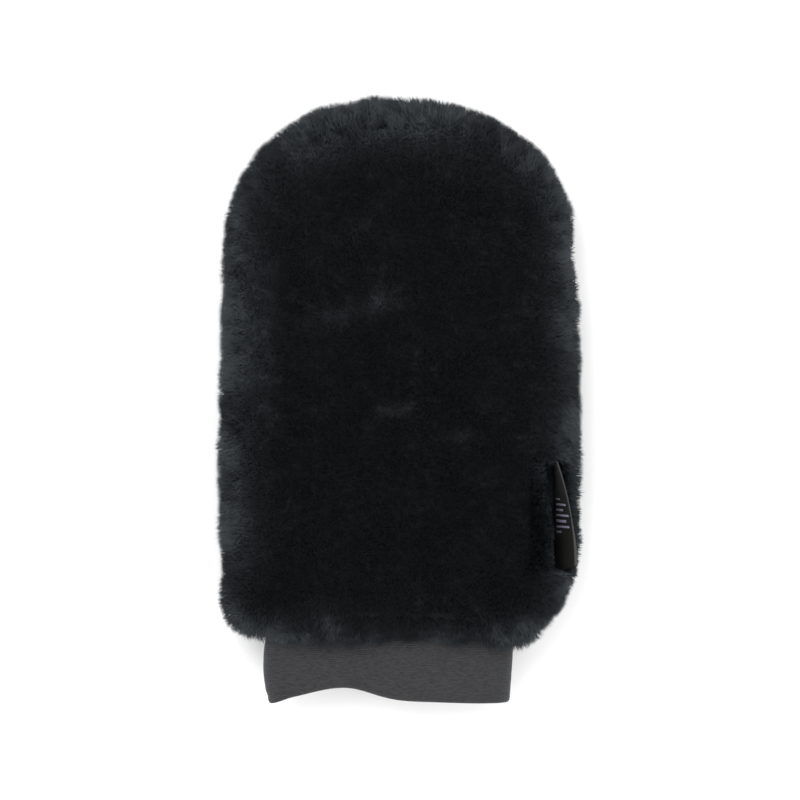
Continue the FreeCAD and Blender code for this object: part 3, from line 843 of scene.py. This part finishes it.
def edge_dip(x):
    """How far the folded edge rises towards the mitt, where it has been stretched out of line."""
    gap = x - DIP_X
    wide = np.where(gap < 0, DIP_LEFT, DIP_RIGHT)
    corner = 1.7 * smooth(-x, 48.0, 61.0)
    return DIP_RISE * np.exp(-(gap / wide) ** 2) + 0.35 * np.sin(x * 0.11 + 0.6) - corner


def edge_pull(x, y):
    """How far the pulled edge draws the knit above it along: less and less towards the mitt."""
    return edge_dip(x) * np.clip((-104 - y) / 34.4, 0, 1) ** 1.6


def oval_path(count):
    """Points and outward normals round the cuff's section, evenly spaced, with heights from its middle."""
    turn = math.atan2(CUFF_FLAT - CUFF_RISE, CUFF_REACH)
    pieces = (
        ((CUFF_REACH, 0.0), CUFF_END, -turn, turn),
        ((0.0, CUFF_RISE - CUFF_FLAT), CUFF_FLAT, turn, math.pi - turn),
        ((-CUFF_REACH, 0.0), CUFF_END, math.pi - turn, math.pi + turn),
        ((0.0, CUFF_FLAT - CUFF_RISE), CUFF_FLAT, math.pi + turn, 2 * math.pi - turn),
    )
    lengths = np.array([radius * (end - start) for _, radius, start, end in pieces])
    starts = np.concatenate([[0], np.cumsum(lengths)])
    where = np.arange(count) / count * starts[-1]
    points, normals = np.empty((count, 2)), np.empty((count, 2))
    for index, (centre, radius, start, end) in enumerate(pieces):
        inside = (where >= starts[index]) & (where < starts[index + 1])
        angle = start + (where[inside] - starts[index]) / radius
        way = np.column_stack([np.cos(angle), np.sin(angle)])
        points[inside] = np.array(centre) + way * radius
        normals[inside] = way
    return points, normals


def cuff_flare(px, down):
    """How far the cuff's sides stand out, from 0 at the mitt to 1 at the free edge."""
    left = 1.5 * np.sin(math.pi * np.clip((down - 0.30) / 0.62, 0, 1))
    left = left - 1.1 * np.clip((down - 0.85) / 0.15, 0, 1)
    right = 0.6 - 2.6 * down ** 1.3
    return np.where(px < 0, left, right)


def cuff_drape(px, pz, down):
    """The cuff's section, given about its middle: its sides flare, and it thins and droops downwards."""
    px = px * (1 + cuff_flare(px, down) / CUFF_HALF) + CUFF_X
    pz = pz * (1 - 0.12 * down) - 2.2 * down ** 1.6
    return px, pz


CUFF_COLS, WALES = 372, 186   # vertices round the tube, and wales of knitting
COURSE = 1.05                 # height of a course
FOLD_Y = -136.9               # middle of the fold at the free edge
FOLD_IN = 1.45                # half the depth between the outer and the inner layer


def build_cuff():
    """The knit tube: down its outside, round the fold, and back up its inside."""
    outside = [(CUFF_TOP_Y - 1.0 * i, 0.0) for i in range(14)]
    outside += [(CUFF_TOP_Y - 14.0 - 0.2 * i, 0.0) for i in range(150)]
    fold = []
    for angle in np.linspace(0, math.pi, 9):
        fold.append((FOLD_Y - FOLD_IN * math.sin(angle), FOLD_IN * (1 - math.cos(angle))))
    inside = [(FOLD_Y + 0.6 + 0.62 * i, 2 * FOLD_IN) for i in range(70)]
    profile = np.array(outside + fold + inside)
    loops, out = oval_path(CUFF_COLS)
    y = profile[:, :1] + np.zeros((1, CUFF_COLS))
    deep = profile[:, 1:] + np.zeros((1, CUFF_COLS))
    down = np.clip((CUFF_TOP_Y - y) / CUFF_DEEP, 0, 1)
    px = loops[None, :, 0] - out[None, :, 0] * (deep + 0.3)
    pz = loops[None, :, 1] - out[None, :, 1] * (deep + 0.3)
    flat = np.clip(pz / CUFF_RISE, -1, 1) ** 2
    px, pz = cuff_drape(px, pz, down)
    # the wide faces sink a little, unevenly
    pz = pz - np.abs(1.1 * noise(px, y * 0.35, 26, 5) * flat * down)
    # the inner layer follows the pull of the edge a little later than the outer one
    rise = edge_pull(px, y)
    rise = rise * np.where(deep > 2.8, np.clip((-100 - y) / 38.4, 0, 1) ** 1.2, 1)
    # courses of knitting stand as fine ridges, crossed by finer wales
    course = np.sin(2 * math.pi * y / COURSE)
    wale = np.sin(2 * math.pi * np.arange(CUFF_COLS) / CUFF_COLS * WALES)[None, :]
    ridge = 0.085 * course + 0.03 * wale * np.sign(course)
    ridge = ridge + 0.05 * noise(px, y, 2.2, 8)
    px = px + out[None, :, 0] * ridge
    pz = pz + out[None, :, 1] * ridge
    verts = np.stack([px, y + rise, SEAM_Z + pz], 2).reshape(-1, 3)
    return verts, grid_faces(len(profile), CUFF_COLS, wrap_cols=True)


cuff_cloth = knit_material(
    "cuff_rib_knit", (0.016, 0.016, 0.017), (0.036, 0.036, 0.038), 0.62, 0.85, 0.16, (420.0, 1500.0, 420.0)
)
verts, faces = build_cuff()
cuff = mesh_object("cuff_knit_tube", verts, [faces], materials=[cuff_cloth])
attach(cuff, "mitt")
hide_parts("cuff_rib")


# ---------- threads and elastic

def tube(points, radius, sides=8, closed=False, twist=0.0, strands=0, depth=0.0, taper=False):
    """A round thread along points in mm, grooved if it has strands and thin at its ends if it tapers."""
    points = np.asarray(points, dtype=float)
    n = len(points)
    if closed:
        ahead = np.roll(points, -1, 0) - np.roll(points, 1, 0)
    else:
        ahead = np.gradient(points, axis=0)
    ahead = unit(ahead)
    guide = np.tile([0.0, 0.0, 1.0], (n, 1))
    steep = np.abs(ahead[:, 2]) > 0.9
    guide[steep] = [0.0, 1.0, 0.0]
    across = unit(np.cross(ahead, guide))
    other = np.cross(ahead, across)
    angle = np.arange(sides) / sides * 2 * math.pi
    size = np.full(n, radius)
    if taper:
        size = radius * np.sqrt(np.clip(np.sin(np.linspace(0.04, 0.96, n) * math.pi), 0, 1)) ** 0.7
    if strands:
        phase = np.arange(n)[:, None] * twist
        wave = 1 + depth * np.cos(strands * (angle[None, :] + phase))
    else:
        wave = np.ones((n, sides))
    ring = size[:, None] * wave
    verts = (
        points[:, None, :]
        + across[:, None, :] * (ring * np.cos(angle))[:, :, None]
        + other[:, None, :] * (ring * np.sin(angle))[:, :, None]
    )
    return verts.reshape(-1, 3), grid_faces(n, sides, wrap_rows=closed, wrap_cols=True)


def thread_material(name, colour, rough):
    """Spun thread: a satin surface with a fine fuzz as bump."""
    material, nodes, links, shader = new_material(name, colour, rough, 0.35)
    coords = add_node(nodes, "TexCoord")
    fuzz = add_node(nodes, "TexNoise", {"Scale": 2600.0, "Detail": 3.0})
    links.new(coords.outputs["Object"], fuzz.inputs["Vector"])
    add_bump(nodes, links, shader, fuzz.outputs["Fac"], 0.5, 0.08)
    return material


seam_thread = thread_material("seam_thread", (0.016, 0.017, 0.019), 0.45)
elastic_thread = thread_material("elastic_thread", (0.045, 0.045, 0.047), 0.5)


STITCH_IN, STITCH_RISE = 16.6, 2.55   # the row's inset, and its height off the seam plane
STITCH, STITCH_DIP = 4.0, 0.30        # pitch of the stitches, and how far their ends dip


def stitches(side):
    """A lockstitch along the seam allowance: each stitch lies on the cloth and dips in at its ends."""
    level = np.full(len(EDGE), SEAM_Z + side * STITCH_RISE)
    path = np.column_stack([EDGE - EDGE_OUT * STITCH_IN, level])
    # it starts in the cuff's mouth, where the row is open
    path = np.roll(path, -int(len(path) * 0.1), axis=0)
    gaps = np.linalg.norm(np.diff(path, axis=0), axis=1)
    where = np.concatenate([[0], np.cumsum(gaps)])
    parts = []
    for start in np.arange(0, where[-1] - STITCH, STITCH):
        stops = np.linspace(start + 0.25, start + STITCH - 0.25, 9)
        points = np.column_stack([np.interp(stops, where, path[:, i]) for i in range(3)])
        if np.any((points[:, 1] < -93.5) & (np.abs(points[:, 0] - CUFF_X) < CUFF_HALF + 1)):
            continue
        points[:, 2] -= side * STITCH_DIP * (1 - np.sin(np.linspace(0, math.pi, 9)) ** 0.5)
        parts.append(tube(points, 0.26, sides=7, strands=2, twist=0.5, depth=0.12, taper=True))
    return join_meshes(parts)


for side, word in ((1, "needle"), (-1, "bobbin")):
    verts, faces = stitches(side)
    piece = mesh_object("perimeter_%s_stitches" % word, verts, [faces], materials=[seam_thread])
    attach(piece, "mitt")
    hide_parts("perimeter_%s_thread" % word)


def cuff_ring(inset, y, count=520):
    """Points round the cuff, inset from its outside, that follow its drape and its pulled edge."""
    loop, out = oval_path(count)
    down = (CUFF_TOP_Y - y) / CUFF_DEEP
    px, pz = cuff_drape(loop[:, 0] - out[:, 0] * inset, loop[:, 1] - out[:, 1] * inset, down)
    return np.column_stack([px, y + edge_pull(px, y), SEAM_Z + pz])


ELASTIC_TOP_Y, ELASTIC_STEP, ELASTIC_COUNT = -97.0, 4.0, 8
yarns = [
    tube(
        cuff_ring(1.75, ELASTIC_TOP_Y - ELASTIC_STEP * i), 0.30,
        closed=True, strands=2, twist=0.42, depth=0.15,
    )
    for i in range(ELASTIC_COUNT)
]
verts, faces = join_meshes(yarns)
elastic = mesh_object("cuff_elastic_rings", verts, [faces], materials=[elastic_thread])
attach(elastic, "mitt")
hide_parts("cuff_elastic_yarns")

# the overlocking swings across the join, eighty times round
JOIN_POINTS, JOIN_SWINGS = 1600, 80
loop = cuff_ring(4.0, CUFF_TOP_Y, count=JOIN_POINTS)
swing = np.arange(JOIN_POINTS) / JOIN_POINTS * 2 * math.pi * JOIN_SWINGS
loop[:, 1] += 1.3 * np.sin(swing)
_, loop_out = oval_path(JOIN_POINTS)
loop[:, 0] -= loop_out[:, 0] * 0.25 * np.cos(2 * swing)
loop[:, 2] -= loop_out[:, 1] * 0.25 * np.cos(2 * swing)
verts, faces = tube(loop, 0.24, sides=6, closed=True, strands=2, twist=0.4, depth=0.12)
overlock = mesh_object("cuff_join_overlock", verts, [faces], materials=[seam_thread])
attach(overlock, "mitt")
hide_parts("cuff_join_thread")


# ---------- label

def label_place(u, v, w):
    """Label coordinates to the frame: u along the seam, v out from it, w off its upper face."""
    angle = np.radians(label_lean(u))
    x = LABEL_X + v * np.cos(angle) - w * np.sin(angle)
    z = LABEL_Z + v * np.sin(angle) + w * np.cos(angle)
    drawn_in = 2.8 * (v / LABEL_WIDE) ** 1.5 * smooth(-u, 2.0, 26.0)
    return np.stack([x, LABEL_Y + u + drawn_in, z], -1)


LABEL_COLS, LABEL_ROWS, FOLD_STEPS = 164, 60, 9
PLY = 0.26                      # half the gap between the two plies, where they are sewn in
LABEL_FOLD = LABEL_WIDE - 0.5   # where the fold at the free edge begins
# a plain woven motif: short bars from one distance off the seam to another, MARK_STEP apart
MARK_BARS = ((3.0, 9.5), (3.0, 17.0), (3.0, 13.0), (3.0, 19.0), (3.0, 15.0), (3.0, 18.0), (3.0, 8.5))
MARK_TOP, MARK_STEP, MARK_THICK = 8.2, 2.5, 1.0


def label_ply(u):
    """Half the gap between the plies at the free edge: they spread a little towards the lower end."""
    return PLY + 0.42 * (1 - smooth(u, -25.0, 2.0))


def build_label():
    """Woven tape folded over at its free edge: both plies, with the weave as low ridges."""
    along = np.linspace(-LABEL_LONG / 2, LABEL_LONG / 2, LABEL_COLS)
    v_up = np.linspace(0.2, LABEL_FOLD, LABEL_ROWS)
    bend = np.linspace(0, math.pi, FOLD_STEPS + 2)[1:-1]
    rows = [(v, 1.0) for v in v_up]
    rows += [(LABEL_FOLD + 0.27 * math.sin(b), math.cos(b)) for b in bend]
    rows += [(v, -1.0) for v in v_up[::-1]]
    profile = np.array(rows)
    u = np.zeros((len(profile), 1)) + along[None, :]
    v = profile[:, :1] + np.zeros((1, LABEL_COLS))
    apart = PLY + (label_ply(u) - PLY) * (v / LABEL_WIDE) ** 2
    w = profile[:, 1:] * apart
    out = np.sign(profile[:, 1:])
    # weft ridges, and the warp's finer ones, which change sides every half ridge
    rib = 0.018 * np.sin(2 * math.pi * v / 0.75)
    rib = rib + 0.012 * np.sin(2 * math.pi * u / 0.62 + np.round(v / 0.375) * math.pi)
    verts = label_place(u, v, w + rib * out).reshape(-1, 3)
    faces = grid_faces(len(profile), LABEL_COLS)
    middle_u = u.ravel()[faces].mean(axis=1)
    middle_v = v.ravel()[faces].mean(axis=1)
    row = faces[:, 0] // LABEL_COLS
    slots = np.zeros(len(faces), dtype=int)
    # the fold at the free edge takes the lighter tape: a painted highlight where the light catches the fold
    slots[(row >= LABEL_ROWS - 3) & (row < LABEL_ROWS + FOLD_STEPS + 2)] = 1
    # the motif, on the upper face only
    for number, (near, far) in enumerate(MARK_BARS):
        start = MARK_TOP - MARK_STEP * number
        bar = (middle_u < start) & (middle_u > start - MARK_THICK) & (middle_v > near) & (middle_v < far)
        slots[bar & (row < LABEL_ROWS)] = 2
    return verts, faces, slots


def satin_material(name, colour, accent, rough):
    """Woven satin tape: streaks along the weft in colour and bump."""
    material, nodes, links, shader = new_material(name, colour, rough, 0.16)
    add_sheen(shader, 0.04, (0.9, 0.92, 0.95), 0.3)
    coords = add_node(nodes, "TexCoord")
    stretch = add_node(nodes, "Mapping", {"Scale": (2600.0, 300.0, 2600.0)})
    streak = add_node(nodes, "TexNoise", {"Scale": 1.0, "Detail": 3.0})
    links.new(coords.outputs["Object"], stretch.inputs["Vector"])
    links.new(stretch.outputs["Vector"], streak.inputs["Vector"])
    add_blend(nodes, links, shader, streak.outputs["Fac"], colour, accent)
    add_bump(nodes, links, shader, streak.outputs["Fac"], 0.45, 0.06)
    return material


tape_cloth = satin_material("label_satin", (0.0065, 0.0068, 0.0062), (0.020, 0.021, 0.018), 0.50)
# lighter than the face: a painted highlight along the fold
tape_fold_highlight = satin_material("label_fold_highlight", (0.026, 0.027, 0.027), (0.048, 0.050, 0.049), 0.55)
tape_mark = satin_material("label_mark", (0.20, 0.19, 0.26), (0.34, 0.32, 0.42), 0.4)
verts, faces, slots = build_label()
tape = mesh_object(
    "label_folded_tape", verts, [faces], slots=slots, materials=[tape_cloth, tape_fold_highlight, tape_mark]
)
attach(tape, "label")
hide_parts("side_label")


# ---------- camera, lights, floor

scene = bpy.context.scene
VIEW_WIDE = 365.2 * MM      # what the picture takes in, at the height of the mitt's rim
RIM_HEIGHT, EYE = 0.030, 1.60
SENSOR = 36.0
camera_data = bpy.data.cameras.new("camera")
camera_data.sensor_width = SENSOR
camera_data.lens = SENSOR * (EYE - RIM_HEIGHT) / VIEW_WIDE
camera = link(bpy.data.objects.new("camera", camera_data))
camera.location = (0, 0, EYE)
scene.camera = camera

FLOOR_HALF = 4000
floor_material = new_material("floor_white", (0.95, 0.95, 0.95), 0.9, 0.1)[0]
floor_corners = [(FLOOR_HALF * x, FLOOR_HALF * y, 0) for x, y in ((-1, -1), (1, -1), (1, 1), (-1, 1))]
floor = mesh_object("floor", floor_corners, [[(0, 1, 2, 3)]], smooth=False, materials=[floor_material])

world = bpy.data.worlds.new("studio")
world.use_nodes = True
world.node_tree.nodes["Background"].inputs["Color"].default_value = (1, 1, 1, 1)
world.node_tree.nodes["Background"].inputs["Strength"].default_value = 1.25
scene.world = world


def area_light(name, place, size, power):
    """A round lamp that points at the origin."""
    data = bpy.data.lights.new(name, "AREA")
    data.shape = "DISK"
    data.size = size
    data.energy = power
    lamp = link(bpy.data.objects.new(name, data))
    lamp.location = place
    lamp.rotation_euler = (-Vector(place)).to_track_quat("-Z", "Y").to_euler()


area_light("key", (-0.5, 0.6, 1.4), 0.9, 10)
area_light("fill", (0.9, -0.5, 1.1), 0.9, 5)
scene.view_settings.view_transform = "Standard"
